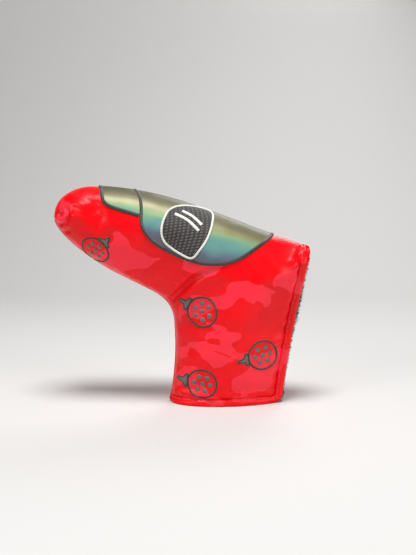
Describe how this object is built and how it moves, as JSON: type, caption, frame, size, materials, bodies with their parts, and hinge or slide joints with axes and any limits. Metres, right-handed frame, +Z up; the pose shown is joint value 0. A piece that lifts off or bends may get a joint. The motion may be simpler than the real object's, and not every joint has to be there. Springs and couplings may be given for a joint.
{
  "type": "putter head cover",
  "caption": "Padded blade putter head cover with a sloped toe arm, an open leg, a glossy crown panel and a magnetic flap that folds open.",
  "frame": {"origin": "centre of the bounding box in X and Y, on the plane of the foot hem", "axes": "X from the toe tip to the heel corner, Y from the near wall to the far wall that carries the flap, Z up"},
  "size_m": [0.16, 0.0428, 0.136],
  "materials": {
    "red_leather": "satin",
    "foam": "matte",
    "plush": "matte",
    "hem_leather": "satin",
    "red_thread": "satin",
    "glossy_film": "gloss",
    "charcoal_thread": "satin",
    "mesh": "matte",
    "white_thread": "satin",
    "magnet_plating": "polished"
  },
  "bodies": {
    "boot": {"outer_shell": "red_leather", "foam_padding": "foam", "plush_lining": "plush", "near_hem": "hem_leather", "far_hem": "hem_leather", "near_hem_stitching": "red_thread", "far_hem_stitching": "red_thread", "underside_seam": "hem_leather", "crown_panel": "glossy_film", "nose_panel": "glossy_film", "crown_panel_cord": "charcoal_thread", "nose_panel_cord": "charcoal_thread", "near_mesh_inset": "mesh", "far_mesh_inset": "mesh", "near_inset_border": "white_thread", "far_inset_border": "white_thread", "near_stripes": "white_thread", "far_stripes": "white_thread", "near_toe_emblem": "charcoal_thread", "near_crotch_emblem": "charcoal_thread", "near_heel_emblem": "charcoal_thread", "near_foot_emblem": "charcoal_thread", "far_toe_emblem": "charcoal_thread", "far_crotch_emblem": "charcoal_thread", "near_magnets": "magnet_plating"},
    "flap": {"flap_shell": "red_leather", "flap_foam": "foam", "flap_lining": "plush", "flap_hem": "hem_leather", "flap_hem_stitching": "red_thread", "flap_emblem": "charcoal_thread", "flap_magnets": "magnet_plating"}
  },
  "joints": [
    {"name": "flap_fold", "type": "hinge", "parent": "boot", "child": "flap", "pos_m": [0.00622, 0.0194, 0], "axis": [0.6398, 0, 0.7686], "range_deg": [0, 50], "stiffness_Nm_per_rad": 0.05}
  ]
}
